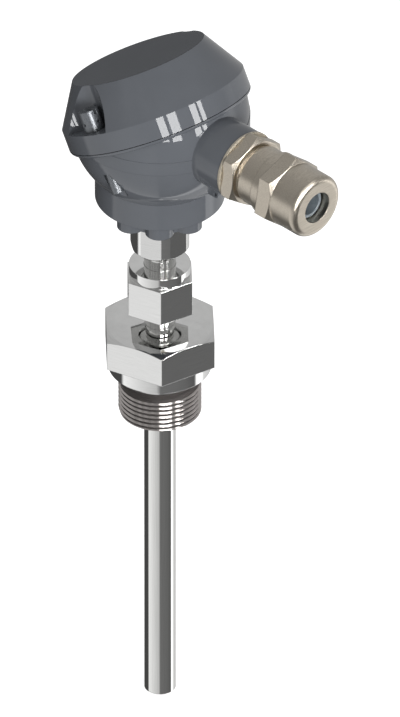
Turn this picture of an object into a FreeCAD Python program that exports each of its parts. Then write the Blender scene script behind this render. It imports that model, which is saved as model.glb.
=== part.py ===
import FreeCAD, Part
import math
import os

V = FreeCAD.Vector
UP = V(0, 0, 1)

# The probe stands on its axis, +Z towards the head. The origin is the centre of the
# sealing face under the collar, and the cable gland points along +X. Lengths are in mm.

# Clearances between mating pieces
RUNNING = 0.05
SEATED = 0.02
SOLDER_GAP = 0.03
LOOSE = 0.1
INSERT_PLAY = 0.25

# Process connection: hexagon, sealing collar and G 1/2 parallel thread in one piece
THREAD_R = 10.4775
THREAD_LENGTH = 14.0
THREAD_CHAMFER = 0.9
UNDERCUT_R = 9.25
UNDERCUT_LENGTH = 3.6
THREAD_START = 0.75
COLLAR_R = 13.0
COLLAR_HEIGHT = 4.0
HEX_AF = 27.0
HEX_HEIGHT = 9.0
HEX_TOP_R = 13.3
HEX_CHAMFER_DROP = 1.0
HEX_CORNER_ANGLE = -42.67

# Protective tube and its closed tip
TUBE_R = 4.0
TUBE_SEAT_R = 3.75
TUBE_WALL = 0.75
IMMERSION = 100.0
TIP_PLUG = 2.5
BARE_TUBE = 5.2

# Union nut, the threaded sleeve that it screws onto, and the ferrule that it clamps
UNION_AF = 16.0
UNION_HEX_HEIGHT = 9.9
UNION_COLLAR_R = 7.75
UNION_COLLAR_HEIGHT = 2.9
UNION_THREAD_R = 6.0
UNION_TOP_WALL = 2.7
SLEEVE_LENGTH = 6.0
SLEEVE_INSET = 0.4
SLEEVE_CHAMFER = 0.6
FERRULE_R = 5.5
FERRULE_NOSE_R = 4.6
FERRULE_CONE = 1.2

# Neck tube, the threaded nipple on its upper end, and the lock nut
NECK_BARE = 4.9
LOCK_AF = 14.0
LOCK_LAND_R = 7.5
LOCK_HEIGHT = 11.2
LOCK_CHAMFER = 1.1
LOCK_CORNER_ANGLE = -33.0
NIPPLE_R = 5.0
NIPPLE_INSET = 0.4

# Connection head: a ball with a round foot, and a lobed boss under the foot
BALL_R = 22.5
BALL_WALL = 2.6
BAND_PROUD = 0.05
BAND_R = BALL_R + BAND_PROUD
BAND_BELOW = 2.1
BAND_ABOVE = 1.6
CENTRE_ABOVE_BOSS = 27.9
BOSS_HEIGHT = 4.9
BOSS_R = 10.7
LOBE_R = 3.55
LOBE_CIRCLE_R = 10.0
LOBES = 8
FOOT_R = 16.25
FOOT_WALL = 2.25
FLOOR_ABOVE_BOSS = 9.9
PLINTH = 9.0

# Tilted flange and lid: distances are measured along the lid's own axis from the ball's centre
LID_TILT = 28.8
FLANGE_OVERHANG = 1.45
FLANGE_R = BALL_R + FLANGE_OVERHANG
FLANGE_EDGE = 0.95
FLANGE_THICKNESS = 4.0
FLANGE_RIM = 7.15
MOUTH_R = FLANGE_R - FLANGE_RIM
GASKET_WIDTH = 1.2
GASKET_R = MOUTH_R + GASKET_WIDTH
GASKET_DEPTH = 1.0
GASKET_PROUD = 0.11
LID_GAP = 0.15
LID_BAND_TOP = 5.3
LID_TOP = 16.05
LID_TOP_R = 17.45
LID_WALL = 2.0
LID_RIM = 8.55
LID_CAVITY_R = FLANGE_R - LID_RIM
LID_LIP = 1.2
LIP_CLEARANCE = 0.4
POCKET_R = 7.75
POCKET_BEYOND_FLANGE = 0.75
POCKET_OFFSET = FLANGE_R + POCKET_BEYOND_FLANGE

# Lid screws, one on each side of the gland
SCREW_INSIDE_FLANGE = 4.05
SCREW_OFFSET = FLANGE_R - SCREW_INSIDE_FLANGE
SCREW_HEAD_R = 2.6
SCREW_HEAD = 5.1
SCREW_SHANK_R = 1.5
SCREW_REACH = 11.6
SCREW_SLOT = 0.8
SCREW_SLOT_DEPTH = 1.3
WIRE_HOLE_R = 0.4
WASHER_R = 2.5
WASHER = 0.28
SCREW_THREAD_DEPTH = 6.2
SCREW_RELIEF_R = 2.0
SCREW_COLUMN_R = 3.2
SCREW_COLUMN = 11.5

# Cable entry boss, with the lug under it
ENTRY_RISE = 0.25
ENTRY_R = 9.1
ENTRY_REACH = 29.8
ENTRY_RUNOUT = 2.2
LUG_REACH = 21.5
LUG_CORNER_R = 1.0
LUG_DEPTH = 13.8
LUG_THICKNESS = 1.5
LUG_HOLE_R = 0.5
LUG_HOLE_INSET = 1.1
LUG_HOLE_RISE = 1.0

# Cable gland: distances are measured along the gland's axis from the ball's centre
GLAND_THREAD_R = 8.0
GLAND_THREAD_DEPTH = 10.0
GLAND_SEAL = 0.55
GLAND_SEAL_R = 9.25
GLAND_AF = 17.0
GLAND_HEX = 3.95
GLAND_REAR_R = 9.0
GLAND_CHAMFER_R = 8.35
GLAND_CHAMFER_ANGLE = 30.0
GLAND_CORNER_ANGLE = -6.0
GLAND_GROOVE_R = 7.1
GLAND_GROOVE = 0.7
GLAND_NECK_R = 7.7
GLAND_NECK_EDGE = 0.5
GLAND_NECK = 5.9
GLAND_BORE_R = 4.6
DOME_THREAD_R = 7.3
DOME_THREAD = 7.0
DOME_SKIRT_R = 8.35
DOME_SKIRT = 2.5
DOME_HEX = 4.4
DOME_CORNER_ANGLE = -10.0
DOME_R = 8.3
DOME_LENGTH = 15.25
DOME_EDGE = 1.55
DOME_MOUTH_R = 4.15
DOME_FRONT_WALL = 2.9
CAGE_R = 6.35
CAGE_WALL = 0.9
CAGE_SLOTS = 8
CAGE_SLOT = 1.0
CAGE_BASE = 1.6
SEAL_BORE_R = 3.0
SEAL_NOSE_R = 3.75
SEAL_RECESS = 2.4
SEAL_DEPTH = 11.0

# Measuring insert: sheath, ceramic rod with one bore for each wire, and the resistor
SHEATH_R = 3.0
SHEATH_WALL = 0.4
SHEATH_END = 0.8
RESISTOR_R = 1.4
RESISTOR_LENGTH = 15.0
ROD_BORE_R = 0.45
ROD_TOP_ABOVE_PLATE = 0.5
WIRES = 4
WIRE_R = 0.35
WIRE_CIRCLE_R = 1.13
WIRE_BEND_R = 1.4

# Terminal block on its steel plate
PLATE_R = 13.2
PLATE = 1.2
BLOCK_R = 12.6
BLOCK_HEIGHT = 6.0
BLOCK_HOLE_R = 3.2
SLOT_FLOOR = 2.0
CLAMP_INNER = 5.2
CLAMP_OUTER = 10.2
CLAMP_WIDTH = 4.0
CLAMP_HEIGHT = 3.7
CLAMP_CLEARANCE = 0.15
CLAMP_WIRE_HOLE_R = 0.6
WIRE_END = 8.6
CLAMP_SCREW_R = 1.0
CLAMP_SCREW_HEAD_R = 1.9
CLAMP_SCREW_HEAD = 1.3
SCREWDRIVER_SLOT = 0.6
FIXING_OFFSET = 9.6
FIXING_R = 1.5
FIXING_HEAD_R = 2.7
FIXING_HEAD = 1.9
FIXING_BITE = 4.0
SPRING_R = 2.1
SPRING_WIRE_R = 0.3
SPRING_LENGTH = 3.6

# Levels that follow from the sizes above
HEX_BOTTOM = COLLAR_HEIGHT
HEX_TOP = HEX_BOTTOM + HEX_HEIGHT
UNION_BOTTOM = HEX_TOP + BARE_TUBE
UNION_SHOULDER = UNION_BOTTOM + UNION_HEX_HEIGHT
UNION_TOP = UNION_SHOULDER + UNION_COLLAR_HEIGHT
UNION_CEILING = UNION_TOP - UNION_TOP_WALL
SLEEVE_BOTTOM = UNION_BOTTOM + SLEEVE_INSET
SLEEVE_TOP = SLEEVE_BOTTOM + SLEEVE_LENGTH
LOCK_BOTTOM = UNION_TOP + NECK_BARE
LOCK_TOP = LOCK_BOTTOM + LOCK_HEIGHT
HEAD_BOTTOM = LOCK_TOP + RUNNING
FOOT_BOTTOM = HEAD_BOTTOM + BOSS_HEIGHT
FLOOR = HEAD_BOTTOM + FLOOR_ABOVE_BOSS
CENTRE = V(0, 0, HEAD_BOTTOM + CENTRE_ABOVE_BOSS)
PLATE_BOTTOM = FLOOR + SEATED
PLATE_TOP = PLATE_BOTTOM + PLATE
BLOCK_BOTTOM = PLATE_TOP + SEATED
BLOCK_TOP = BLOCK_BOTTOM + BLOCK_HEIGHT
CLAMP_BOTTOM = BLOCK_BOTTOM + SLOT_FLOOR + SEATED
WIRE_LEVEL = CLAMP_BOTTOM + CLAMP_HEIGHT / 2
PLUG_TOP = -IMMERSION + TIP_PLUG
SHEATH_BOTTOM = PLUG_TOP + LOOSE
RESISTOR_BOTTOM = SHEATH_BOTTOM + SHEATH_END + SEATED
RESISTOR_TOP = RESISTOR_BOTTOM + RESISTOR_LENGTH
GLAND_SEAT = ENTRY_REACH + GLAND_SEAL
GLAND_HEX_END = GLAND_SEAT + GLAND_HEX
DOME_START = GLAND_HEX_END + GLAND_NECK + LOOSE
DOME_END = DOME_START + DOME_LENGTH
GLAND_END = DOME_START + DOME_THREAD
DOME_CEILING = DOME_END - DOME_FRONT_WALL


def cylinder(r, low, high, x=0.0, y=0.0):
    """Solid cylinder along Z between two levels."""
    return Part.makeCylinder(r, high - low, V(x, y, low), UP)


def ring(outer, inner, low, high):
    """Straight tube along Z between two levels."""
    return cylinder(outer, low, high).cut(cylinder(inner, low - 1, high + 1))


def box(x0, x1, y0, y1, z0, z1):
    """Block between two corners."""
    return Part.makeBox(x1 - x0, y1 - y0, z1 - z0, V(x0, y0, z0))


def turned(*points):
    """Solid of revolution about Z from (radius, level) points. A pair of points in
    one item is an arc, given by a point on it and its end."""
    edges = []
    last = V(points[0][0], 0, points[0][1])
    first = last
    for item in points[1:]:
        if isinstance(item[0], tuple):
            middle, end = [V(p[0], 0, p[1]) for p in item]
            edges.append(Part.Arc(last, middle, end).toShape())
        else:
            end = V(item[0], 0, item[1])
            edges.append(Part.LineSegment(last, end).toShape())
        last = end
    edges.append(Part.LineSegment(last, first).toShape())
    face = Part.Face(Part.Wire(edges))
    return face.revolve(V(0, 0, 0), UP, 360)


def hexagon(across_flats, low, high, corner_angle):
    """Hexagonal prism along Z with one corner at the given angle from +X."""
    r = across_flats / 2 / math.cos(math.radians(30))
    corners = []
    for k in range(7):
        a = math.radians(corner_angle + 60 * k)
        corners.append(V(r * math.cos(a), r * math.sin(a), low))
    return Part.Face(Part.makePolygon(corners)).extrude(V(0, 0, high - low))


def around(shape, angle, x=0.0, y=0.0):
    """Copy of a shape turned about a vertical line."""
    copy = shape.copy()
    copy.rotate(V(x, y, 0), UP, angle)
    return copy


def on_lid_axis(shape):
    """Carries a shape from the Z axis to the lid's tilted axis through the ball's centre."""
    copy = shape.copy()
    copy.rotate(V(0, 0, 0), V(0, 1, 0), -LID_TILT)
    copy.translate(CENTRE)
    return copy


def on_gland_axis(shape):
    """Carries a shape from the Z axis to the gland's axis, just above the ball's centre."""
    copy = shape.copy()
    copy.rotate(V(0, 0, 0), V(0, 1, 0), 90)
    copy.translate(CENTRE + V(0, 0, ENTRY_RISE))
    return copy


def inside_radius(corner, edge):
    """Point in the middle of a quarter round with its centre at (corner, edge)."""
    return corner * math.cos(math.radians(45)), edge * math.sin(math.radians(45))


def process_connection():
    start = UNDERCUT_LENGTH + THREAD_START
    turned_part = turned(
        (0, -THREAD_LENGTH),
        (THREAD_R - THREAD_CHAMFER, -THREAD_LENGTH),
        (THREAD_R, THREAD_CHAMFER - THREAD_LENGTH),
        (THREAD_R, -start),
        (UNDERCUT_R, -UNDERCUT_LENGTH),
        (UNDERCUT_R, 0),
        (COLLAR_R, 0),
        (COLLAR_R, HEX_BOTTOM),
        (0, HEX_BOTTOM))
    corner_r = HEX_AF / 2 / math.cos(math.radians(30))
    chamfer = turned(
        (0, HEX_BOTTOM),
        (corner_r + 1, HEX_BOTTOM),
        (corner_r + 1, HEX_TOP - HEX_CHAMFER_DROP * (corner_r + 1 - HEX_TOP_R) / (corner_r - HEX_TOP_R)),
        (HEX_TOP_R, HEX_TOP),
        (0, HEX_TOP))
    head = hexagon(HEX_AF, HEX_BOTTOM, HEX_TOP, HEX_CORNER_ANGLE).common(chamfer)
    bore = cylinder(TUBE_SEAT_R + SOLDER_GAP, -THREAD_LENGTH - 1, HEX_TOP + 1)
    return turned_part.fuse(head).removeSplitter().cut(bore)


def protective_tube():
    """Stem tube, turned down where it is soldered into the process connection."""
    shoulder = -THREAD_LENGTH - SEATED
    tube = cylinder(TUBE_R, -IMMERSION, shoulder)
    tube = tube.fuse(cylinder(TUBE_SEAT_R, shoulder - 1, SLEEVE_TOP))
    return tube.cut(cylinder(TUBE_R - TUBE_WALL, -IMMERSION - 1, SLEEVE_TOP + 1))


def tip_plug():
    return cylinder(TUBE_R - TUBE_WALL - SEATED, -IMMERSION, PLUG_TOP)


def coupling_sleeve():
    r = UNION_THREAD_R - RUNNING
    body = turned(
        (0, SLEEVE_BOTTOM),
        (r - SLEEVE_CHAMFER, SLEEVE_BOTTOM),
        (r, SLEEVE_BOTTOM + SLEEVE_CHAMFER),
        (r, SLEEVE_TOP - SLEEVE_CHAMFER),
        (r - SLEEVE_CHAMFER, SLEEVE_TOP),
        (0, SLEEVE_TOP))
    return body.cut(cylinder(TUBE_SEAT_R + SOLDER_GAP, SLEEVE_BOTTOM - 1, SLEEVE_TOP + 1))


def union_nut():
    body = hexagon(UNION_AF, UNION_BOTTOM, UNION_SHOULDER, HEX_CORNER_ANGLE)
    body = body.fuse(cylinder(UNION_COLLAR_R, UNION_SHOULDER, UNION_TOP))
    body = body.cut(cylinder(UNION_THREAD_R, UNION_BOTTOM - 1, UNION_CEILING))
    return body.cut(cylinder(TUBE_R + RUNNING, UNION_CEILING - 1, UNION_TOP + 1))


def ferrule():
    bottom = SLEEVE_TOP + SEATED
    top = UNION_CEILING - RUNNING
    body = turned(
        (0, bottom),
        (FERRULE_NOSE_R, bottom),
        (FERRULE_R, bottom + FERRULE_CONE),
        (FERRULE_R, top),
        (0, top))
    return body.cut(cylinder(TUBE_R + SEATED, bottom - 1, top + 1))


def neck_tube():
    return ring(TUBE_R, TUBE_R - TUBE_WALL, SLEEVE_TOP + SEATED, FLOOR - SEATED)


def head_nipple():
    bottom = LOCK_BOTTOM + NIPPLE_INSET
    return ring(NIPPLE_R - RUNNING, TUBE_R + SOLDER_GAP, bottom, FLOOR - SEATED)


def lock_nut():
    chamfered = turned(
        (0, LOCK_BOTTOM),
        (LOCK_LAND_R - LOCK_CHAMFER * math.tan(math.radians(60)) / 2, LOCK_BOTTOM),
        (LOCK_LAND_R, LOCK_BOTTOM + LOCK_CHAMFER),
        (LOCK_LAND_R, LOCK_TOP),
        (0, LOCK_TOP))
    body = hexagon(LOCK_AF, LOCK_BOTTOM, LOCK_TOP, LOCK_CORNER_ANGLE).common(chamfered)
    return body.cut(cylinder(NIPPLE_R, LOCK_BOTTOM - 1, LOCK_TOP + 1))


def screw_places():
    """Places of the two lid screws in the lid's own frame."""
    return [(0.0, -SCREW_OFFSET), (0.0, SCREW_OFFSET)]


def head_ball():
    """Ball with the low turned band around its widest part."""
    profile = [(0, -BALL_R)]
    for level, side in ((-BAND_BELOW, -1), (BAND_ABOVE, 1)):
        r = math.sqrt(BALL_R ** 2 - level ** 2)
        half_way = math.radians(45) + math.asin(abs(level) / BALL_R) / 2
        middle = (BALL_R * math.cos(half_way), side * BALL_R * math.sin(half_way))
        if side < 0:
            profile += [(middle, (r, level)), (BAND_R, level)]
        else:
            profile += [(BAND_R, level), (r, level), (middle, (0, BALL_R))]
    ball = turned(*profile)
    ball.translate(CENTRE)
    return ball


def head_lug():
    """Fin under the cable entry, with a round corner and a small hole near its outer end."""
    low = CENTRE.z - LUG_DEPTH
    high = CENTRE.z - ENTRY_R / 2
    half = LUG_THICKNESS / 2
    start = FOOT_R - FOOT_WALL
    corner = V(LUG_REACH - LUG_CORNER_R, -half, low + LUG_CORNER_R)
    slant = LUG_CORNER_R * math.sin(math.radians(45))
    foot = V(corner.x, -half, low)
    nose = V(LUG_REACH, -half, corner.z)
    outline = Part.Wire([
        Part.Arc(foot, corner + V(slant, 0, -slant), nose).toShape(),
        Part.LineSegment(nose, V(LUG_REACH, -half, high)).toShape(),
        Part.LineSegment(V(LUG_REACH, -half, high), V(start, -half, high)).toShape(),
        Part.LineSegment(V(start, -half, high), V(start, -half, low)).toShape(),
        Part.LineSegment(V(start, -half, low), foot).toShape()])
    fin = Part.Face(outline).extrude(V(0, LUG_THICKNESS, 0))
    hole = Part.makeCylinder(
        LUG_HOLE_R, LUG_THICKNESS + 2,
        V(LUG_REACH - LUG_HOLE_INSET, -half - 1, low + LUG_HOLE_RISE), V(0, 1, 0))
    return fin.cut(hole)


def head_outside():
    body = head_ball()
    body = body.fuse(cylinder(FOOT_R, FOOT_BOTTOM, CENTRE.z))
    body = body.fuse(cylinder(BOSS_R, HEAD_BOTTOM, FOOT_BOTTOM + 1))
    lobe = cylinder(LOBE_R, HEAD_BOTTOM, FOOT_BOTTOM + 1, LOBE_CIRCLE_R)
    body = body.fuse([around(lobe, 360 / LOBES * k) for k in range(LOBES)])
    corner = inside_radius(FLANGE_EDGE, -FLANGE_EDGE)
    inner_r = FLANGE_R - FLANGE_EDGE
    flange = turned(
        (0, -FLANGE_EDGE),
        (inner_r, -FLANGE_EDGE),
        ((inner_r + corner[0], corner[1]), (FLANGE_R, 0)),
        (0, 0))
    body = body.fuse(on_lid_axis(flange))
    body = body.fuse(on_gland_axis(cylinder(ENTRY_R, 0, ENTRY_REACH)))
    body = body.fuse(head_lug())
    above = box(-60, 60, -60, 60, 0, 60)
    return body.cut(on_lid_axis(above))


def head_inside():
    cavity = Part.makeSphere(BALL_R - BALL_WALL, CENTRE)
    cavity = cavity.cut(on_lid_axis(box(-60, 60, -60, 60, -FLANGE_THICKNESS, 60)))
    cavity = cavity.fuse(on_lid_axis(cylinder(MOUTH_R, -FLANGE_THICKNESS - 2, 1)))
    cavity = cavity.fuse(cylinder(FOOT_R - FOOT_WALL, FLOOR, FLOOR + PLINTH))
    for x, y in screw_places():
        cavity = cavity.cut(on_lid_axis(cylinder(SCREW_COLUMN_R, -SCREW_COLUMN, 0, x, y)))
    return cavity


def head_body():
    body = head_outside().cut(head_inside())
    body = body.cut(cylinder(NIPPLE_R, HEAD_BOTTOM - 1, FLOOR + 1))
    body = body.cut(on_gland_axis(
        cylinder(GLAND_THREAD_R, ENTRY_REACH - GLAND_THREAD_DEPTH - ENTRY_RUNOUT, ENTRY_REACH + 1)))
    body = body.cut(on_lid_axis(ring(GASKET_R + SEATED, MOUTH_R, -GASKET_DEPTH - SEATED, 1)))
    for x, y in screw_places():
        hole = cylinder(SCREW_SHANK_R + RUNNING, -BALL_R, 1, x, y)
        relief = cylinder(SCREW_RELIEF_R, -BALL_R, -SCREW_THREAD_DEPTH, x, y)
        body = body.cut(on_lid_axis(hole.fuse(relief)))
    for x in (-FIXING_OFFSET, FIXING_OFFSET):
        body = body.cut(cylinder(FIXING_R + SEATED, FLOOR - FIXING_BITE - 0.5, FLOOR + 1, x))
    return body


def lid_gasket():
    return on_lid_axis(ring(GASKET_R, MOUTH_R + SEATED, -GASKET_DEPTH, GASKET_PROUD))


def lid():
    lip_r = MOUTH_R - LIP_CLEARANCE
    shell = turned(
        (0, -LID_LIP),
        (lip_r, -LID_LIP),
        (lip_r, LID_GAP),
        (FLANGE_R, LID_GAP),
        (FLANGE_R, LID_BAND_TOP),
        (LID_TOP_R, LID_TOP),
        (0, LID_TOP))
    ceiling = LID_TOP - LID_WALL
    slope = (FLANGE_R - LID_TOP_R) / (LID_TOP - LID_BAND_TOP)
    ceiling_r = LID_CAVITY_R - slope * (ceiling - LID_BAND_TOP) / 2
    cavity = turned(
        (0, -LID_LIP - 1),
        (LID_CAVITY_R, -LID_LIP - 1),
        (LID_CAVITY_R, LID_BAND_TOP),
        (ceiling_r, ceiling),
        (0, ceiling))
    shell = shell.cut(cavity)
    for x, y in screw_places():
        side = math.copysign(1, y)
        shell = shell.cut(cylinder(POCKET_R, LID_BAND_TOP, LID_TOP + 1, x, side * POCKET_OFFSET))
        shell = shell.cut(cylinder(SCREW_SHANK_R + LOOSE, -1, LID_TOP, x, y))
    return on_lid_axis(shell)


def lid_screw(x, y):
    seat = LID_BAND_TOP + WASHER + 2 * SEATED
    top = seat + SCREW_HEAD
    screw = cylinder(SCREW_HEAD_R, seat, top, x, y)
    screw = screw.fuse(cylinder(SCREW_SHANK_R, -SCREW_REACH, seat + 1, x, y))
    half = SCREW_SLOT / 2
    screw = screw.cut(box(x - 4, x + 4, y - half, y + half, top - SCREW_SLOT_DEPTH, top + 1))
    middle = seat + SCREW_HEAD * 0.38
    for direction in (V(1, 0, 0), V(0, 1, 0)):
        start = V(x, y, middle) - direction * 4
        screw = screw.cut(Part.makeCylinder(WIRE_HOLE_R, 8, start, direction))
    return on_lid_axis(screw)


def screw_washers():
    low = LID_BAND_TOP + SEATED
    washers = []
    for x, y in screw_places():
        washer = cylinder(WASHER_R, low, low + WASHER, x, y)
        washers.append(on_lid_axis(washer.cut(cylinder(SCREW_SHANK_R + LOOSE, low - 1, low + 1, x, y))))
    return Part.makeCompound(washers)


def chamfered_end(across_flats, low, high, end_r):
    """Envelope that chamfers the upper end of a hexagon down to a circle."""
    outer = across_flats / 2 / math.cos(math.radians(30)) + 1
    drop = (outer - end_r) * math.tan(math.radians(GLAND_CHAMFER_ANGLE))
    return turned((0, low), (outer, low), (outer, high - drop), (end_r, high), (0, high))


def chamfered_start(across_flats, low, high, start_r):
    """Envelope that chamfers the lower end of a hexagon down to a circle."""
    outer = across_flats / 2 / math.cos(math.radians(30)) + 1
    rise = (outer - start_r) * math.tan(math.radians(GLAND_CHAMFER_ANGLE))
    return turned((0, low), (start_r, low), (outer, low + rise), (outer, high), (0, high))


def gland_seal():
    return on_gland_axis(ring(GLAND_SEAL_R, GLAND_THREAD_R, ENTRY_REACH, GLAND_SEAT))


def cage_bore_r():
    return CAGE_R - CAGE_WALL


def gland_body():
    inner_end = ENTRY_REACH - GLAND_THREAD_DEPTH
    thread_r = GLAND_THREAD_R - SEATED
    body = cylinder(thread_r, inner_end, GLAND_SEAT)
    low = GLAND_SEAT + SEATED
    nut = hexagon(GLAND_AF, low, GLAND_HEX_END, GLAND_CORNER_ANGLE)
    nut = nut.common(chamfered_end(GLAND_AF, low, GLAND_HEX_END, GLAND_CHAMFER_R))
    body = body.fuse(nut.common(chamfered_start(GLAND_AF, low, GLAND_HEX_END, GLAND_REAR_R)))
    body = body.fuse(cylinder(GLAND_GROOVE_R, GLAND_HEX_END - 1, GLAND_HEX_END + GLAND_GROOVE + 1))
    neck_low = GLAND_HEX_END + GLAND_GROOVE
    neck_high = DOME_START - LOOSE
    inner_r = GLAND_NECK_R - GLAND_NECK_EDGE
    corner = inside_radius(GLAND_NECK_EDGE, GLAND_NECK_EDGE)
    body = body.fuse(turned(
        (0, neck_low),
        (inner_r, neck_low),
        ((inner_r + corner[0], neck_low + GLAND_NECK_EDGE - corner[1]), (GLAND_NECK_R, neck_low + GLAND_NECK_EDGE)),
        (GLAND_NECK_R, neck_high),
        (0, neck_high)))
    body = body.fuse(cylinder(thread_r, GLAND_SEAT - 1, GLAND_HEX_END))
    body = body.fuse(cylinder(DOME_THREAD_R - RUNNING, DOME_START - 1, GLAND_END))
    body = body.cut(cylinder(GLAND_BORE_R, inner_end - 1, GLAND_END))
    seat = DOME_END - SEAL_RECESS - SEAL_DEPTH
    return on_gland_axis(body.cut(cylinder(cage_bore_r(), seat - SEATED, GLAND_END + 1)))


def clamping_cage():
    low = GLAND_END + SEATED
    high = DOME_CEILING - INSERT_PLAY
    cage = ring(CAGE_R, cage_bore_r(), low, high)
    slot = box(0, CAGE_R + 1, -CAGE_SLOT / 2, CAGE_SLOT / 2, low + CAGE_BASE, high + 1)
    return on_gland_axis(cage.cut([around(slot, 360 / CAGE_SLOTS * k) for k in range(CAGE_SLOTS)]))


def sealing_insert():
    face = DOME_END - SEAL_RECESS
    shoulder = DOME_CEILING - INSERT_PLAY
    r = cage_bore_r() - LOOSE
    body = cylinder(r, face - SEAL_DEPTH, shoulder)
    body = body.fuse(cylinder(SEAL_NOSE_R, shoulder - 1, face))
    return on_gland_axis(body.cut(cylinder(SEAL_BORE_R, face - SEAL_DEPTH - 1, face + 1)))


def dome_nut():
    corner = inside_radius(DOME_EDGE, DOME_EDGE)
    inner_r = DOME_R - DOME_EDGE
    shoulder = DOME_END - DOME_EDGE
    hex_low = DOME_START + DOME_SKIRT
    hex_high = hex_low + DOME_HEX
    body = turned(
        (0, DOME_START),
        (DOME_SKIRT_R, DOME_START),
        (DOME_SKIRT_R, hex_low + 1),
        (DOME_R, hex_low + 1),
        (DOME_R, shoulder),
        ((inner_r + corner[0], shoulder + corner[1]), (inner_r, DOME_END)),
        (0, DOME_END))
    nut = hexagon(GLAND_AF, hex_low, hex_high, DOME_CORNER_ANGLE)
    body = body.fuse(nut.common(chamfered_end(GLAND_AF, hex_low, hex_high, DOME_R)))
    body = body.cut(cylinder(DOME_THREAD_R, DOME_START - 1, GLAND_END + INSERT_PLAY))
    body = body.cut(cylinder(CAGE_R + INSERT_PLAY, GLAND_END, DOME_CEILING))
    return on_gland_axis(body.cut(cylinder(DOME_MOUTH_R, DOME_CEILING - 1, DOME_END + 1)))


def insert_sheath():
    tube = cylinder(SHEATH_R, SHEATH_BOTTOM, PLATE_TOP)
    return tube.cut(cylinder(SHEATH_R - SHEATH_WALL, SHEATH_BOTTOM + SHEATH_END, PLATE_TOP + 1))


def wire_angles():
    return [45 + 360 / WIRES * k for k in range(WIRES)]


def insulating_rod():
    low = RESISTOR_TOP + 2 * SEATED
    high = PLATE_TOP + ROD_TOP_ABOVE_PLATE
    rod = cylinder(SHEATH_R - SHEATH_WALL - LOOSE, low, high)
    bore = cylinder(ROD_BORE_R, low - 1, high + 1, WIRE_CIRCLE_R)
    return rod.cut([around(bore, a) for a in wire_angles()])


def measuring_resistor():
    return cylinder(RESISTOR_R, RESISTOR_BOTTOM, RESISTOR_TOP)


def lead_wires():
    """Wires that rise through the rod, bend outwards and end in the terminal clamps."""
    low = RESISTOR_TOP + SEATED
    bend_x = WIRE_CIRCLE_R + WIRE_BEND_R
    bend_z = WIRE_LEVEL - WIRE_BEND_R
    wire = cylinder(WIRE_R, low, bend_z, WIRE_CIRCLE_R)
    section = Part.Face(Part.Wire(Part.Circle(V(WIRE_CIRCLE_R, 0, bend_z), UP, WIRE_R).toShape()))
    wire = wire.fuse(section.revolve(V(bend_x, 0, bend_z), V(0, 1, 0), 90))
    wire = wire.fuse(Part.makeCylinder(WIRE_R, WIRE_END - bend_x, V(bend_x, 0, WIRE_LEVEL), V(1, 0, 0)))
    return Part.makeCompound([around(wire, a) for a in wire_angles()])


def mounting_plate():
    plate = ring(PLATE_R, SHEATH_R + SEATED, PLATE_BOTTOM, PLATE_TOP)
    for x in (-FIXING_OFFSET, FIXING_OFFSET):
        plate = plate.cut(cylinder(FIXING_R + LOOSE, PLATE_BOTTOM - 1, PLATE_TOP + 1, x))
    return plate


def terminal_block():
    block = ring(BLOCK_R, BLOCK_HOLE_R, BLOCK_BOTTOM, BLOCK_TOP)
    half = CLAMP_WIDTH / 2 + CLAMP_CLEARANCE
    slot = box(0, BLOCK_R + 1, -half, half, BLOCK_BOTTOM + SLOT_FLOOR, BLOCK_TOP + 1)
    block = block.cut([around(slot, a) for a in wire_angles()])
    for x in (-FIXING_OFFSET, FIXING_OFFSET):
        block = block.cut(cylinder(FIXING_R + LOOSE, BLOCK_BOTTOM - 1, BLOCK_TOP + 1, x))
    return block


def clamp_screw_x():
    return (CLAMP_INNER + CLAMP_OUTER) / 2


def terminal_clamps():
    half = CLAMP_WIDTH / 2
    top = CLAMP_BOTTOM + CLAMP_HEIGHT
    clamp = box(CLAMP_INNER, CLAMP_OUTER, -half, half, CLAMP_BOTTOM, top)
    hole = Part.makeCylinder(
        CLAMP_WIRE_HOLE_R, CLAMP_OUTER, V(CLAMP_INNER - 1, 0, WIRE_LEVEL), V(1, 0, 0))
    clamp = clamp.cut(hole)
    clamp = clamp.cut(cylinder(CLAMP_SCREW_R + SEATED, WIRE_LEVEL, top + 1, clamp_screw_x()))
    return Part.makeCompound([around(clamp, a) for a in wire_angles()])


def terminal_screws():
    x = clamp_screw_x()
    top = CLAMP_BOTTOM + CLAMP_HEIGHT
    head_top = top + CLAMP_SCREW_HEAD
    screw = cylinder(CLAMP_SCREW_R, WIRE_LEVEL + WIRE_R + SEATED, top + 1, x)
    screw = screw.fuse(cylinder(CLAMP_SCREW_HEAD_R, top + SEATED, head_top, x))
    half = SCREWDRIVER_SLOT / 2
    slot = box(x - 3, x + 3, -half, half, head_top - SCREWDRIVER_SLOT, head_top + 1)
    screw = screw.cut(slot)
    return Part.makeCompound([around(screw, a) for a in wire_angles()])


def fixing_screws():
    seat = BLOCK_TOP + SPRING_LENGTH + 2 * SEATED
    head_top = seat + FIXING_HEAD
    screw = cylinder(FIXING_R, FLOOR - FIXING_BITE, seat + 1, FIXING_OFFSET)
    screw = screw.fuse(cylinder(FIXING_HEAD_R, seat, head_top, FIXING_OFFSET))
    half = SCREWDRIVER_SLOT / 2
    slot = box(0, FIXING_OFFSET * 2, -half, half, head_top - SCREWDRIVER_SLOT, head_top + 1)
    screw = screw.cut(slot)
    return Part.makeCompound([screw, around(screw, 180)])


def pressure_springs():
    """Springs that hold the block and its insert down under the screw heads, as plain sleeves."""
    low = BLOCK_TOP + SEATED
    sleeve = ring(SPRING_R + SPRING_WIRE_R, SPRING_R - SPRING_WIRE_R, low, low + SPRING_LENGTH)
    sleeve.translate(V(FIXING_OFFSET, 0, 0))
    return Part.makeCompound([sleeve, around(sleeve, 180)])


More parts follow.
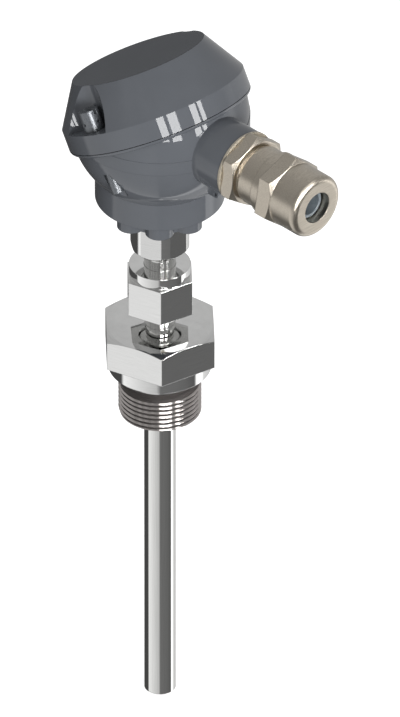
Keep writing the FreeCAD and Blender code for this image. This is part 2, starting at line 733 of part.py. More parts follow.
NODES = {
    "process_connection": process_connection,
    "protective_tube": protective_tube,
    "tip_plug": tip_plug,
    "coupling_sleeve": coupling_sleeve,
    "union_nut": union_nut,
    "ferrule": ferrule,
    "neck_tube": neck_tube,
    "head_nipple": head_nipple,
    "lock_nut": lock_nut,
    "head_body": head_body,
    "lid_gasket": lid_gasket,
    "lid": lid,
    "lid_screw_front": lambda: lid_screw(*screw_places()[0]),
    "lid_screw_rear": lambda: lid_screw(*screw_places()[1]),
    "screw_washers": screw_washers,
    "gland_seal": gland_seal,
    "gland_body": gland_body,
    "clamping_cage": clamping_cage,
    "sealing_insert": sealing_insert,
    "dome_nut": dome_nut,
    "insert_sheath": insert_sheath,
    "insulating_rod": insulating_rod,
    "measuring_resistor": measuring_resistor,
    "lead_wires": lead_wires,
    "mounting_plate": mounting_plate,
    "terminal_block": terminal_block,
    "terminal_clamps": terminal_clamps,
    "terminal_screws": terminal_screws,
    "fixing_screws": fixing_screws,
    "pressure_springs": pressure_springs,
}

os.makedirs("parts", exist_ok=True)
for name, make in NODES.items():
    shape = make()
    shape.exportStep("parts/" + name + ".step")
    print(name, len(shape.Solids), round(shape.Volume, 2), shape.isValid())
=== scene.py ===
import math

import bmesh
import bpy
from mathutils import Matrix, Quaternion, Vector


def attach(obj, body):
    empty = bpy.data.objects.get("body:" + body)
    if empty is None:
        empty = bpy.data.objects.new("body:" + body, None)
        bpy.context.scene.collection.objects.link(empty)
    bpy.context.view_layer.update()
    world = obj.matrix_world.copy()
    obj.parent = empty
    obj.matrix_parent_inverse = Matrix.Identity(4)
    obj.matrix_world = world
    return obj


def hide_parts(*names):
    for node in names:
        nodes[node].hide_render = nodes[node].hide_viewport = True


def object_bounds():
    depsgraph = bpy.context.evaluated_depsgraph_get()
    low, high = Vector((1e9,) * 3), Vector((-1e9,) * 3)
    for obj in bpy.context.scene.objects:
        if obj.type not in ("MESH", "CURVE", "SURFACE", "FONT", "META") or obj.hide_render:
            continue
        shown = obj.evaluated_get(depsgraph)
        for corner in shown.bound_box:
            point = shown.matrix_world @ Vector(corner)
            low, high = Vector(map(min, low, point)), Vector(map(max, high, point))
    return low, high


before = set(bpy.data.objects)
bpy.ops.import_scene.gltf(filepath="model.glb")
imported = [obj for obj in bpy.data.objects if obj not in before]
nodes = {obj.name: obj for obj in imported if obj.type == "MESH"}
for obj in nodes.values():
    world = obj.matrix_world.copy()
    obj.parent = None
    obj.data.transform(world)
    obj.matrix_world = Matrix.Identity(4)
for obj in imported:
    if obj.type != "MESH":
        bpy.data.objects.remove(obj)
cad_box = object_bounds()

MM = 0.001

# The photograph's view is parallel. A camera this far away, aimed and turned like this,
# comes nearest to it over the whole object.
VIEW_FROM = Vector((0.58195, -0.57225, 0.57782)).normalized()
VIEW_CENTRE = Vector((6.943, 7.278, 1.535)) * MM
VIEW_ROLL = 0.000985
CAMERA_DISTANCE = 4.8
CAMERA_REACH = 20
LENS = 960.64
SENSOR_HEIGHT = 36

# Process connection thread, in mm
THREAD_R = 10.4775
THREAD_PITCH = 1.333
THREAD_DEPTH = 0.8
THREAD_LOW = -14.0
THREAD_HIGH = -3.6
THREAD_LOW_R = 9.5775
THREAD_END_SLOPE = 1.2
UNDERCUT_R = 9.25
STEM_BORE_R = 3.78
# The frame's own shape is kept down to this level, in the undercut, and the cut thread hangs below it
JOIN_LEVEL = THREAD_HIGH + 0.6
# The cut over one pitch: 0 is the crest and 1 the root
THREAD_PROFILE = [(0.0, 0.0), (0.62, 1.0), (0.82, 1.0), (1.0, 0.0)]
THREAD_AROUND = 120
THREAD_ALONG = 235

# Painted shade in the thread's recesses, in mm: deeper under the crests than GROOVE_FROM, but not on the bore
# or on the lowest BRIGHT_END of it, and the whole of the RUN_OUT at its top, under the collar
GROOVE_FROM = 0.4
BORE_WALL = 1
BRIGHT_END = 0.7
RUN_OUT = 0.8

# Pressure springs on the terminal block, in mm
SPRING_OFFSET = 9.6
SPRING_LOW = 64.31
SPRING_HEIGHT = 3.6
SPRING_COIL_R = 2.1
SPRING_WIRE_R = 0.3
SPRING_TURNS = 4.0
STEPS_PER_TURN = 24
WIRE_SIDES = 10

# Points closer than this are one point, in m: within a piece, and where two surfaces of it meet
WELD = 0.000001
SEAM_WELD = 0.00001


def linear(code):
    """Linear RGBA from an sRGB hex code."""
    parts = [int(code[i:i + 2], 16) / 255 for i in (1, 3, 5)]
    return [p / 12.92 if p <= 0.04045 else ((p + 0.055) / 1.055) ** 2.4 for p in parts] + [1.0]


def add(tree, kind, inputs=(), stops=(), fade="LINEAR", **settings):
    """Adds one node with its settings, its inputs as values or links, and a colour ramp's stops."""
    made = tree.nodes.new(kind)
    for key, value in settings.items():
        setattr(made, key, value)
    for key, value in dict(inputs).items():
        socket = made.inputs[key]
        if isinstance(value, bpy.types.NodeSocket):
            tree.links.new(value, socket)
        else:
            socket.default_value = value
    if stops:
        ramp = made.color_ramp
        ramp.interpolation = fade
        ramp.elements.remove(ramp.elements[1])
        ramp.elements[0].position = stops[0][0]
    for index, (position, value) in enumerate(stops):
        mark = ramp.elements.new(position) if index else ramp.elements[0]
        mark.color = linear(value) if isinstance(value, str) else (value, value, value, 1)
    return made


def surface(name, metallic=0.0, roughness=0.5, ior=None, edge_mm=0.0, **sockets):
    """New material with its Principled shader, Object coordinates, and normals that round the edges."""
    material = bpy.data.materials.new(name)
    material.use_nodes = True
    tree = material.node_tree
    shader = tree.nodes["Principled BSDF"]
    shader.inputs["Metallic"].default_value = metallic
    shader.inputs["Roughness"].default_value = roughness
    if ior:
        shader.inputs["IOR"].default_value = ior
    for key, value in sockets.items():
        shader.inputs[key.replace("_", " ")].default_value = value
    place = add(tree, "ShaderNodeTexCoord").outputs["Object"]
    rounded = add(tree, "ShaderNodeBevel", {"Radius": edge_mm * MM}, samples=6).outputs["Normal"]
    return material, tree, shader, place, rounded


def tool_marks(name, grain_mm, shades, metallic, roughness, spread, relief_mm, edge_mm=0.12, ior=None):
    """Material in two close shades whose grain measures grain_mm along X, Y and Z. The same grain makes
    it smoother or rougher by spread, and stands proud by relief_mm."""
    material, tree, shader, place, rounded = surface(name, metallic, roughness, ior, edge_mm)
    drawn = add(tree, "ShaderNodeMapping", {"Vector": place, "Scale": [1 / (size * MM) for size in grain_mm]})
    marks = add(tree, "ShaderNodeTexNoise", {"Vector": drawn.outputs["Vector"], "Scale": 1.0, "Detail": 3.0})
    tint = add(tree, "ShaderNodeValToRGB", {"Fac": marks.outputs["Fac"]},
               stops=[(0.3, shades[0]), (0.72, shades[1])])
    sheen = add(tree, "ShaderNodeMapRange", {
        "Value": marks.outputs["Fac"], "To Min": roughness - spread, "To Max": roughness + spread})
    bump = add(tree, "ShaderNodeBump", {
        "Height": marks.outputs["Fac"], "Distance": relief_mm * MM, "Strength": 1.0, "Normal": rounded})
    tree.links.new(tint.outputs["Color"], shader.inputs["Base Color"])
    tree.links.new(sheen.outputs["Result"], shader.inputs["Roughness"])
    tree.links.new(bump.outputs["Normal"], shader.inputs["Normal"])
    return material


def painted_casting(name, shades, drift_mm, peel_mm, relief_mm, edge_mm):
    """Gloss stove paint on die-cast aluminium, sprayed: a clear hard skin mirrors the windows sharply,
    and the body colour drifts a little where the coat is thicker. Its orange peel is peel_mm wide."""
    material, tree, shader, place, rounded = surface(
        name, metallic=0.0, roughness=0.1, ior=1.5, edge_mm=edge_mm,
        Specular_IOR_Level=0.0, Coat_Weight=1.0, Coat_Roughness=0.03, Coat_IOR=1.35)
    wide = add(tree, "ShaderNodeTexNoise", {"Vector": place, "Scale": 1 / (drift_mm * MM), "Detail": 3.0})
    drift = add(tree, "ShaderNodeValToRGB", {"Fac": wide.outputs["Fac"]},
                stops=[(0.3, shades[0]), (0.7, shades[1])])
    peel = add(tree, "ShaderNodeTexNoise", {"Vector": place, "Scale": 1 / (peel_mm * MM), "Detail": 1.0})
    bump = add(tree, "ShaderNodeBump", {
        "Height": peel.outputs["Fac"], "Distance": relief_mm * MM, "Strength": 1.0, "Normal": rounded})
    tree.links.new(drift.outputs["Color"], shader.inputs["Base Color"])
    tree.links.new(bump.outputs["Normal"], shader.inputs["Normal"])
    return material


# Stainless tube, drawn and polished: fine lines run along it, drawn 0.15 mm wide so that they show
DRAWN_TUBE = tool_marks(
    "drawn_stainless_tube", grain_mm=(0.15, 0.15, 14), shades=("#dfdfdd", "#d5d5d3"),
    metallic=1.0, roughness=0.08, spread=0.02, relief_mm=0.0008)
# Stainless bar, turned: rings of tool marks round the axis, drawn 0.12 mm apart so that they show
TURNED_STEEL = tool_marks(
    "turned_stainless_steel", grain_mm=(4, 4, 0.12), shades=("#e2e2e1", "#dadad9"),
    metallic=1.0, roughness=0.07, spread=0.02, relief_mm=0.0003, edge_mm=0.2)
# The same bar where the thread is cut: a little darker and duller, from the thread die
THREAD_STEEL = tool_marks(
    "thread_cut_stainless_steel", grain_mm=(5, 5, 0.4), shades=("#cdc7c4", "#c2bcb9"),
    metallic=1.0, roughness=0.1, spread=0.03, relief_mm=0.0005)
# Painted shade in the thread's roots and its run-out groove under the collar: a dark, dull colour where shade
# falls, which hides the metal's shine
GROOVE_SHADE_STEEL = tool_marks(
    "painted_groove_shade_on_stainless_steel", grain_mm=(4, 4, 0.2), shades=("#413d3b", "#353231"),
    metallic=0.1, roughness=0.5, spread=0.05, relief_mm=0.001, ior=1.4)
# Die-cast aluminium under grey stove enamel: an even grey body under a sharp gloss
HEAD_PAINT = painted_casting(
    "grey_gloss_enamel_on_casting", shades=("#595c61", "#5c5f64"),
    drift_mm=9, peel_mm=1.6, relief_mm=0.002, edge_mm=0.3)
# Satin nickel on brass: warm grey, with short scratches across the gland, drawn 0.12 mm wide
NICKEL = tool_marks(
    "satin_nickel_on_brass", grain_mm=(0.12, 5, 0.12), shades=("#c9c1b4", "#a79f92"),
    metallic=1.0, roughness=0.3, spread=0.06, relief_mm=0.004, edge_mm=0.25)
# Steel screws, zinc-plated and passivated dark: the film leaves only a soft, dull mirror
SCREW_STEEL = tool_marks(
    "dark_zinc_plated_steel", grain_mm=(0.4, 0.4, 0.4), shades=("#626569", "#5a5d61"),
    metallic=0.22, roughness=0.28, spread=0.04, relief_mm=0.001, edge_mm=0.15)
# Coiled spring wire, drawn and bright
SPRING_WIRE = tool_marks(
    "bright_spring_wire", grain_mm=(0.2, 0.2, 0.2), shades=("#b9bbbe", "#a2a4a8"),
    metallic=1.0, roughness=0.22, spread=0.04, relief_mm=0.001, edge_mm=0.05)
# Nitrile rubber, moulded: black, but matt and chalky, so it never looks fully black
BLACK_RUBBER = tool_marks(
    "black_moulded_nitrile", grain_mm=(0.5, 0.5, 0.5), shades=("#36383b", "#404246"),
    metallic=0.0, roughness=0.6, spread=0.08, relief_mm=0.01, edge_mm=0.1, ior=1.52)
# Chloroprene rubber, moulded: blue-grey with a faint bloom
GREY_RUBBER = tool_marks(
    "grey_moulded_chloroprene", grain_mm=(0.5, 0.5, 0.5), shades=("#7c858b", "#6d767d"),
    metallic=0.0, roughness=0.45, spread=0.06, relief_mm=0.01, edge_mm=0.2, ior=1.52)
# Polyamide, moulded and coloured a warm grey: dull, so it stays quiet between the boss and the gland
SEAL_POLYAMIDE = tool_marks(
    "grey_moulded_polyamide", grain_mm=(0.8, 0.8, 0.8), shades=("#a39b8c", "#948d7f"),
    metallic=0.0, roughness=0.4, spread=0.05, relief_mm=0.01, edge_mm=0.1, ior=1.53)
# Polyamide, moulded and uncoloured: creamy and slightly waxy
POLYAMIDE = tool_marks(
    "natural_moulded_polyamide", grain_mm=(0.8, 0.8, 0.8), shades=("#ddd5c2", "#cfc7b3"),
    metallic=0.0, roughness=0.4, spread=0.05, relief_mm=0.01, edge_mm=0.1, ior=1.53)
# Steatite ceramic, pressed and glazed: white with a wet shine
CERAMIC = tool_marks(
    "white_glazed_steatite", grain_mm=(1.2, 1.2, 1.2), shades=("#ece8de", "#e2dccf"),
    metallic=0.0, roughness=0.18, spread=0.04, relief_mm=0.01, edge_mm=0.2, ior=1.5)
# Brass, milled: yellow, with fine cutter marks
TERMINAL_BRASS = tool_marks(
    "bright_milled_brass", grain_mm=(0.3, 0.3, 0.3), shades=("#d9b56a", "#c9a353"),
    metallic=1.0, roughness=0.25, spread=0.05, relief_mm=0.003, edge_mm=0.15)
# Nickel wire, drawn: pale and soft-looking
NICKEL_WIRE = tool_marks(
    "bare_nickel_wire", grain_mm=(0.2, 0.2, 0.2), shades=("#cfc8ba", "#bcb5a8"),
    metallic=1.0, roughness=0.3, spread=0.05, relief_mm=0.001, edge_mm=0.05)

FINISHES = {
    "process_connection": TURNED_STEEL,
    "protective_tube": DRAWN_TUBE,
    "tip_plug": DRAWN_TUBE,
    "coupling_sleeve": TURNED_STEEL,
    "union_nut": TURNED_STEEL,
    "ferrule": TURNED_STEEL,
    "neck_tube": DRAWN_TUBE,
    "head_nipple": TURNED_STEEL,
    "lock_nut": TURNED_STEEL,
    "head_body": HEAD_PAINT,
    "lid": HEAD_PAINT,
    "lid_gasket": BLACK_RUBBER,
    "lid_screw_front": SCREW_STEEL,
    "lid_screw_rear": SCREW_STEEL,
    "screw_washers": SCREW_STEEL,
    "gland_seal": SEAL_POLYAMIDE,
    "gland_body": NICKEL,
    "clamping_cage": POLYAMIDE,
    "sealing_insert": GREY_RUBBER,
    "dome_nut": NICKEL,
    "insert_sheath": DRAWN_TUBE,
    "insulating_rod": CERAMIC,
    "measuring_resistor": CERAMIC,
    "lead_wires": NICKEL_WIRE,
    "mounting_plate": TURNED_STEEL,
    "terminal_block": CERAMIC,
    "terminal_clamps": TERMINAL_BRASS,
    "terminal_screws": TERMINAL_BRASS,
    "fixing_screws": SCREW_STEEL,
    "pressure_springs": SPRING_WIRE,
}
for node_name, finish in FINISHES.items():
    slots = nodes[node_name].data.materials
    slots.clear()
    slots.append(finish)


def mesh_object(name, bm, material):
    """Turns a bmesh into a piece with one material, at the origin."""
    mesh = bpy.data.meshes.new(name)
    bm.to_mesh(mesh)
    bm.free()
    mesh.materials.append(material)
    piece = bpy.data.objects.new(name, mesh)
    bpy.context.scene.collection.objects.link(piece)
    return piece


def thread_tree():
    """Geometry Nodes for a cut thread: a grid rolled into a tube whose wall rises and falls along a helix."""
    tree = bpy.data.node_groups.new("cut_thread", "GeometryNodeTree")
    face = tree.interface
    for name in ("Crest radius", "Depth", "Pitch", "Low", "High", "Low radius", "High radius", "End slope"):
        face.new_socket(name, in_out="INPUT", socket_type="NodeSocketFloat")
    for name in ("Around", "Along"):
        face.new_socket(name, in_out="INPUT", socket_type="NodeSocketInt")
    face.new_socket("Material", in_out="INPUT", socket_type="NodeSocketMaterial")
    face.new_socket("Geometry", in_out="OUTPUT", socket_type="NodeSocketGeometry")
    given = add(tree, "NodeGroupInput").outputs
    low, high, slope = given["Low"], given["High"], given["End slope"]

    # A square grid, one unit wide, gives each point its share of the turn and of the height
    grid = add(tree, "GeometryNodeMeshGrid",
               {"Size X": 1.0, "Size Y": 1.0, "Vertices X": given["Around"], "Vertices Y": given["Along"]})
    spot = add(tree, "ShaderNodeSeparateXYZ", {0: add(tree, "GeometryNodeInputPosition").outputs[0]}).outputs
    turn = add(tree, "ShaderNodeMath", {0: spot["X"], 1: 0.5}, operation="ADD").outputs[0]
    share = add(tree, "ShaderNodeMath", {0: spot["Y"], 1: 0.5}, operation="ADD").outputs[0]
    height = add(tree, "ShaderNodeMath", {0: high, 1: low}, operation="SUBTRACT").outputs[0]
    climb = add(tree, "ShaderNodeMath", {0: share, 1: height}, operation="MULTIPLY").outputs[0]
    level = add(tree, "ShaderNodeMath", {0: low, 1: climb}, operation="ADD").outputs[0]

    # The profile is read along a right-hand helix
    pitches = add(tree, "ShaderNodeMath", {0: level, 1: given["Pitch"]}, operation="DIVIDE").outputs[0]
    wound = add(tree, "ShaderNodeMath", {0: pitches, 1: turn}, operation="SUBTRACT").outputs[0]
    phase = add(tree, "ShaderNodeMath", {0: wound}, operation="FRACT").outputs[0]
    shaped = add(tree, "ShaderNodeValToRGB", {"Fac": phase}, stops=THREAD_PROFILE).outputs["Color"]
    sunk = add(tree, "ShaderNodeMath", {0: shaped, 1: given["Depth"]}, operation="MULTIPLY").outputs[0]
    radius = add(tree, "ShaderNodeMath", {0: given["Crest radius"], 1: sunk}, operation="SUBTRACT").outputs[0]

    # A cone at each end takes the crests off
    for upper, lower, end_radius in ((level, low, given["Low radius"]), (high, level, given["High radius"])):
        inside = add(tree, "ShaderNodeMath", {0: upper, 1: lower}, operation="SUBTRACT").outputs[0]
        rise = add(tree, "ShaderNodeMath", {0: inside, 1: slope}, operation="MULTIPLY").outputs[0]
        cone = add(tree, "ShaderNodeMath", {0: end_radius, 1: rise}, operation="ADD").outputs[0]
        radius = add(tree, "ShaderNodeMath", {0: radius, 1: cone}, operation="MINIMUM").outputs[0]

    angle = add(tree, "ShaderNodeMath", {0: turn, 1: 2 * math.pi}, operation="MULTIPLY").outputs[0]
    place = {"Z": level}
    for axis, wave in (("X", "COSINE"), ("Y", "SINE")):
        part = add(tree, "ShaderNodeMath", {0: angle}, operation=wave).outputs[0]
        place[axis] = add(tree, "ShaderNodeMath", {0: radius, 1: part}, operation="MULTIPLY").outputs[0]
    rolled = add(tree, "GeometryNodeSetPosition", {
        "Geometry": grid.outputs["Mesh"], "Position": add(tree, "ShaderNodeCombineXYZ", place).outputs[0]})
    closed = add(tree, "GeometryNodeMergeByDistance", {"Geometry": rolled.outputs[0], "Distance": WELD})
    real = add(tree, "GeometryNodeRealizeInstances", {"Geometry": closed.outputs[0]})
    dressed = add(tree, "GeometryNodeSetMaterial", {
        "Geometry": real.outputs[0], "Material": given["Material"]})
    add(tree, "NodeGroupOutput", {"Geometry": dressed.outputs[0]})
    return tree


def grown(tree, **values):
    """Plain mesh that a Geometry Nodes tree makes from its named inputs."""
    holder = bpy.data.objects.new("holder", bpy.data.meshes.new("holder"))
    bpy.context.scene.collection.objects.link(holder)
    modifier = holder.modifiers.new("tree", "NODES")
    modifier.node_group = tree
    names = {item.name: item.identifier for item in tree.interface.items_tree if item.in_out == "INPUT"}
    for key, value in values.items():
        modifier[names[key.replace("_", " ")]] = value
    plain = bpy.data.meshes.new_from_object(holder.evaluated_get(bpy.context.evaluated_depsgraph_get()))
    holder.modifiers.remove(modifier)
    bpy.data.objects.remove(holder)
    bm = bmesh.new()
    bm.from_mesh(plain)
    bpy.data.meshes.remove(plain)
    return bm


def lathe(bm, profile_mm, around):
    """Adds a surface turned about Z from (radius, level) points."""
    rings = []
    for radius, level in profile_mm:
        ring = []
        for k in range(around):
            a = 2 * math.pi * k / around
            ring.append(bm.verts.new((radius * MM * math.cos(a), radius * MM * math.sin(a), level * MM)))
        rings.append(ring)
    for low, high in zip(rings, rings[1:]):
        for k in range(around):
            j = (k + 1) % around
            bm.faces.new((low[k], low[j], high[j], high[k]))


def shade_by_angle(piece, degrees=30):
    """Smooth shading, except over edges sharper than this."""
    for polygon in piece.data.polygons:
        polygon.use_smooth = True
    bm = bmesh.new()
    bm.from_mesh(piece.data)
    for edge in bm.edges:
        edge.smooth = len(edge.link_faces) == 2 and edge.calc_face_angle(0) < math.radians(degrees)
    bm.to_mesh(piece.data)
    bm.free()


def process_connection():
    """Hexagon and collar as in the frame, with the process thread cut below them."""
    bm = bmesh.new()
    bm.from_mesh(nodes["process_connection"].data)
    bmesh.ops.remove_doubles(bm, verts=bm.verts, dist=WELD)
    everything = bm.verts[:] + bm.edges[:] + bm.faces[:]
    bmesh.ops.bisect_plane(bm, geom=everything, plane_co=(0, 0, JOIN_LEVEL * MM), plane_no=(0, 0, -1),
                           clear_outer=True)
    hexagon = mesh_object("process_connection_hexagon", bm, TURNED_STEEL)
    bm = grown(thread_tree(), Crest_radius=THREAD_R * MM, Depth=THREAD_DEPTH * MM, Pitch=THREAD_PITCH * MM,
               Low=THREAD_LOW * MM, High=THREAD_HIGH * MM, Low_radius=THREAD_LOW_R * MM,
               High_radius=UNDERCUT_R * MM, End_slope=THREAD_END_SLOPE, Around=THREAD_AROUND + 1,
               Along=THREAD_ALONG, Material=THREAD_STEEL)
    lathe(bm, [(UNDERCUT_R, THREAD_HIGH), (UNDERCUT_R, JOIN_LEVEL), (STEM_BORE_R, JOIN_LEVEL),
               (STEM_BORE_R, THREAD_LOW), (THREAD_LOW_R, THREAD_LOW)], THREAD_AROUND)
    bmesh.ops.remove_doubles(bm, verts=bm.verts, dist=SEAM_WELD)
    bmesh.ops.recalc_face_normals(bm, faces=bm.faces)
    thread = mesh_object("process_connection_thread", bm, THREAD_STEEL)
    thread.data.materials.append(GROOVE_SHADE_STEEL)
    # Painted shade: faces deep in the roots and near the top of the cut take the dark groove material
    for face in thread.data.polygons:
        radius, level = face.center.xy.length / MM, face.center.z / MM
        in_cut = THREAD_R - GROOVE_FROM > radius > STEM_BORE_R + BORE_WALL
        in_root = in_cut and level > THREAD_LOW + BRIGHT_END
        face.material_index = int(in_root or level > THREAD_HIGH - RUN_OUT)
    for piece in (hexagon, thread):
        shade_by_angle(piece)
        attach(piece, "stem")
        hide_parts("process_connection")


process_connection()


def spring_tree():
    """Geometry Nodes for a row of coil springs: a wire swept along a helix, once at each place."""
    tree = bpy.data.node_groups.new("coil_springs", "GeometryNodeTree")
    face = tree.interface
    for name in ("Coil radius", "Wire radius", "Height", "Turns", "Spacing", "Level"):
        face.new_socket(name, in_out="INPUT", socket_type="NodeSocketFloat")
    face.new_socket("Count", in_out="INPUT", socket_type="NodeSocketInt")
    face.new_socket("Material", in_out="INPUT", socket_type="NodeSocketMaterial")
    face.new_socket("Geometry", in_out="OUTPUT", socket_type="NodeSocketGeometry")
    given = add(tree, "NodeGroupInput").outputs
    wire_r = given["Wire radius"]
    wire = add(tree, "ShaderNodeMath", {0: wire_r, 1: 2.0}, operation="MULTIPLY").outputs[0]
    rise = add(tree, "ShaderNodeMath", {0: given["Height"], 1: wire}, operation="SUBTRACT").outputs[0]
    helix = add(tree, "GeometryNodeCurveSpiral", {
        "Resolution": STEPS_PER_TURN, "Rotations": given["Turns"], "Start Radius": given["Coil radius"],
        "End Radius": given["Coil radius"], "Height": rise})
    section = add(tree, "GeometryNodeCurvePrimitiveCircle", {"Resolution": WIRE_SIDES, "Radius": wire_r})
    coil = add(tree, "GeometryNodeCurveToMesh", {
        "Curve": helix.outputs[0], "Profile Curve": section.outputs[0], "Fill Caps": True})
    half = add(tree, "ShaderNodeMath", {0: given["Spacing"], 1: -0.5}, operation="MULTIPLY").outputs[0]
    base = add(tree, "ShaderNodeMath", {0: given["Level"], 1: wire_r}, operation="ADD").outputs[0]
    first = add(tree, "ShaderNodeCombineXYZ", {"X": half, "Z": base}).outputs[0]
    step = add(tree, "ShaderNodeCombineXYZ", {"X": given["Spacing"]}).outputs[0]
    places = add(tree, "GeometryNodeMeshLine", {
        "Count": given["Count"], "Start Location": first, "Offset": step})
    row = add(tree, "GeometryNodeInstanceOnPoints", {
        "Points": places.outputs[0], "Instance": coil.outputs[0]})
    real = add(tree, "GeometryNodeRealizeInstances", {"Geometry": row.outputs[0]})
    dressed = add(tree, "GeometryNodeSetMaterial", {
        "Geometry": real.outputs[0], "Material": given["Material"]})
    add(tree, "NodeGroupOutput", {"Geometry": dressed.outputs[0]})
    return tree


def pressure_springs():
    """Coiled wire in place of the plain sleeves on the fixing screws."""
    bm = grown(spring_tree(), Coil_radius=SPRING_COIL_R * MM, Wire_radius=SPRING_WIRE_R * MM,
               Height=SPRING_HEIGHT * MM, Turns=SPRING_TURNS, Spacing=2 * SPRING_OFFSET * MM,
               Level=SPRING_LOW * MM, Count=2, Material=SPRING_WIRE)
    bmesh.ops.recalc_face_normals(bm, faces=bm.faces)
    springs = mesh_object("pressure_spring_coils", bm, SPRING_WIRE)
    shade_by_angle(springs, degrees=50)
    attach(springs, "head")
    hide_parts("pressure_springs")


pressure_springs()


# Brightness of what shiny surfaces mirror, below the horizon and above it. Positions run round the room:
# 0 and 1 are behind the object, 0.5 is the camera's side, 0.25 the left and 0.75 the right.
MIRRORED_BELOW = [
    (0.0, 0.4), (0.012, 0.12), (0.04, 0.12), (0.06, 0.07), (0.235, 0.08), (0.255, 1.15), (0.48, 0.66),
    (0.505, 0.2), (0.66, 0.17), (0.735, 0.12), (0.75, 1.2), (0.76, 2.0), (0.79, 2.0), (0.82, 0.9),
    (0.88, 0.75), (0.94, 0.6), (0.985, 0.5), (1.0, 0.45)]
MIRRORED_ABOVE = [
    (0.0, 0.6), (0.1, 0.5), (0.25, 0.45), (0.3, 0.3), (0.32, 0.5), (0.345, 0.3), (0.37, 0.45),
    (0.4, 0.3), (0.43, 0.42), (0.46, 0.32), (0.5, 0.3), (0.75, 0.4), (1.0, 0.6)]
HORIZON_BLEND = 0.1
ROOM_TURN = 45

# Mirrored windows: where each pane begins (1) and ends (0) round the room, and then from straight down
# (0) over the horizon (0.5) to straight up (1). The second window is higher and dimmer.
WINDOW_COLUMNS = [
    (0.0, 0.0), (0.5097, 1.0), (0.5345, 0.0), (0.5432, 1.0), (0.575, 0.0), (0.6256, 1.0), (0.652, 0.0),
    (0.659, 1.0), (0.6736, 0.0)]
WINDOW_ROWS = [(0.0, 0.0), (0.515, 1.0), (0.768, 0.0)]
WINDOW_LIGHT = 20.0
HIGH_WINDOW_COLUMNS = [(0.0, 0.0), (0.487, 1.0), (0.598, 0.0), (0.632, 1.0), (0.74, 0.0)]
HIGH_WINDOW_ROWS = [(0.0, 0.0), (0.85, 1.0), (0.945, 0.0)]
HIGH_WINDOW_LIGHT = 2.4

# Soft light on matt surfaces, and the backdrop, from straight down (0) to straight up (1)
SOFT_LIGHT = [(0.0, 0.38), (0.5, 0.56), (0.75, 0.6), (1.0, 0.62)]

# Floor, in m, and its own glow
FLOOR_REACH = 3.0
FLOOR_GAP = 0.0005
FLOOR_GLOW = 0.55


def studio_floor():
    """Pale paper under the object, which neither lights it nor is mirrored in it."""
    level = cad_box[0].z - FLOOR_GAP
    corners = [(x * FLOOR_REACH, y * FLOOR_REACH, level) for x, y in ((-1, -1), (1, -1), (1, 1), (-1, 1))]
    floor = bpy.data.meshes.new("studio_floor")
    floor.from_pydata(corners, [], [(0, 1, 2, 3)])
    ground = bpy.data.objects.new("studio_floor", floor)
    bpy.context.scene.collection.objects.link(ground)
    paper, _, shader, _, _ = surface("white_studio_paper", metallic=0.0, roughness=0.9)
    shader.inputs["Base Color"].default_value = linear("#f6f6f6")
    shader.inputs["Specular IOR Level"].default_value = 0.0
    shader.inputs["Emission Color"].default_value = linear("#ffffff")
    shader.inputs["Emission Strength"].default_value = FLOOR_GLOW
    floor.materials.append(paper)
    ground.visible_glossy = False
    ground.visible_diffuse = False


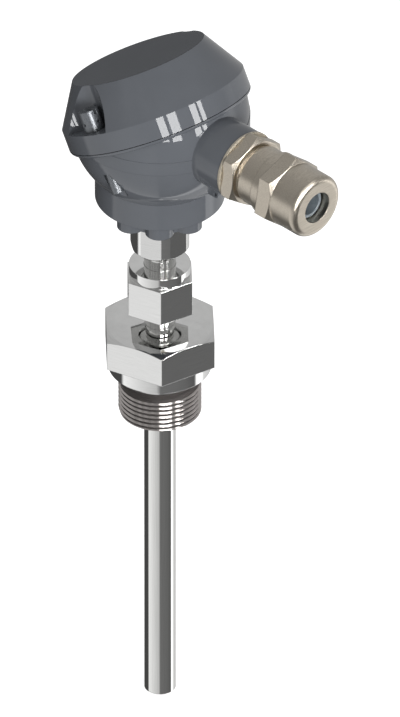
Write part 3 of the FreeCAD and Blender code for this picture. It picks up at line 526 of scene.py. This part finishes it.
def studio_room():
    """Soft light from all round, and the room and windows that the bright metal and the paint mirror."""
    world = bpy.data.worlds.new("studio")
    bpy.context.scene.world = world
    world.use_nodes = True
    tree = world.node_tree
    tree.nodes.clear()
    way = add(tree, "ShaderNodeTexCoord").outputs["Generated"]
    height = add(tree, "ShaderNodeSeparateXYZ", {0: way}).outputs["Z"]
    upwards = add(tree, "ShaderNodeMapRange", {"Value": height, "From Min": -1.0}).outputs["Result"]
    turned = add(tree, "ShaderNodeMapping", {
        "Vector": way, "Rotation": (0, 0, math.radians(ROOM_TURN))}).outputs["Vector"]
    azimuth = add(tree, "ShaderNodeTexGradient", {"Vector": turned}, gradient_type="RADIAL").outputs["Fac"]

    # A colour Mix takes its factor at input 0 and its two colours at 6 and 7
    lower = add(tree, "ShaderNodeValToRGB", {"Fac": azimuth}, stops=MIRRORED_BELOW).outputs["Color"]
    upper = add(tree, "ShaderNodeValToRGB", {"Fac": azimuth}, stops=MIRRORED_ABOVE).outputs["Color"]
    above = add(tree, "ShaderNodeMapRange", {
        "Value": height, "From Min": -HORIZON_BLEND, "From Max": HORIZON_BLEND}).outputs["Result"]
    mirrored = add(tree, "ShaderNodeMix", {0: above, 6: lower, 7: upper}, data_type="RGBA").outputs[2]
    for across, up, light in ((WINDOW_COLUMNS, WINDOW_ROWS, WINDOW_LIGHT),
                              (HIGH_WINDOW_COLUMNS, HIGH_WINDOW_ROWS, HIGH_WINDOW_LIGHT)):
        columns = add(tree, "ShaderNodeValToRGB", {"Fac": azimuth}, stops=across, fade="CONSTANT")
        rows = add(tree, "ShaderNodeValToRGB", {"Fac": upwards}, stops=up, fade="CONSTANT")
        panes = add(tree, "ShaderNodeMath", {
            0: columns.outputs["Color"], 1: rows.outputs["Color"]}, operation="MULTIPLY").outputs[0]
        shine = add(tree, "ShaderNodeMath", {0: panes, 1: light}, operation="MULTIPLY").outputs[0]
        mirrored = add(tree, "ShaderNodeMix", {0: 1.0, 6: mirrored, 7: shine},
                       data_type="RGBA", blend_type="ADD").outputs[2]

    soft = add(tree, "ShaderNodeValToRGB", {"Fac": upwards}, stops=SOFT_LIGHT).outputs["Color"]
    glossy = add(tree, "ShaderNodeLightPath").outputs["Is Glossy Ray"]
    sky = add(tree, "ShaderNodeMix", {0: glossy, 6: soft, 7: mirrored}, data_type="RGBA").outputs[2]
    background = add(tree, "ShaderNodeBackground", {"Color": sky, "Strength": 1.0})
    add(tree, "ShaderNodeOutputWorld", {"Surface": background.outputs[0]})


def soft_box(name, place_mm, target_mm, size_mm, watts):
    """Rectangular studio light aimed at a point."""
    light = bpy.data.lights.new(name, "AREA")
    light.shape = "RECTANGLE"
    light.size, light.size_y = size_mm[0] * MM, size_mm[1] * MM
    light.energy = watts
    lamp = bpy.data.objects.new(name, light)
    lamp.location = Vector(place_mm) * MM
    lamp.rotation_mode = "QUATERNION"
    lamp.rotation_quaternion = (Vector(target_mm) * MM - lamp.location).to_track_quat("-Z", "Y")
    lamp.visible_glossy = False
    bpy.context.scene.collection.objects.link(lamp)


def camera():
    """Camera far away with a long lens, so that the view is as parallel as the photograph's."""
    data = bpy.data.cameras.new("photograph_camera")
    data.sensor_fit = "VERTICAL"
    data.sensor_height = SENSOR_HEIGHT
    data.lens = LENS
    data.clip_end = CAMERA_REACH
    view = bpy.data.objects.new("photograph_camera", data)
    view.location = VIEW_CENTRE + VIEW_FROM * CAMERA_DISTANCE
    view.rotation_mode = "QUATERNION"
    level = (-VIEW_FROM).to_track_quat("-Z", "Y")
    view.rotation_quaternion = level @ Quaternion((0, 0, 1), VIEW_ROLL)
    bpy.context.scene.collection.objects.link(view)
    bpy.context.scene.camera = view


studio_floor()
studio_room()
soft_box("key_soft_box", place_mm=(1340, -600, 360), target_mm=(0, 0, 60), size_mm=(500, 500), watts=20)
camera()
bpy.context.scene.view_settings.view_transform = "Standard"
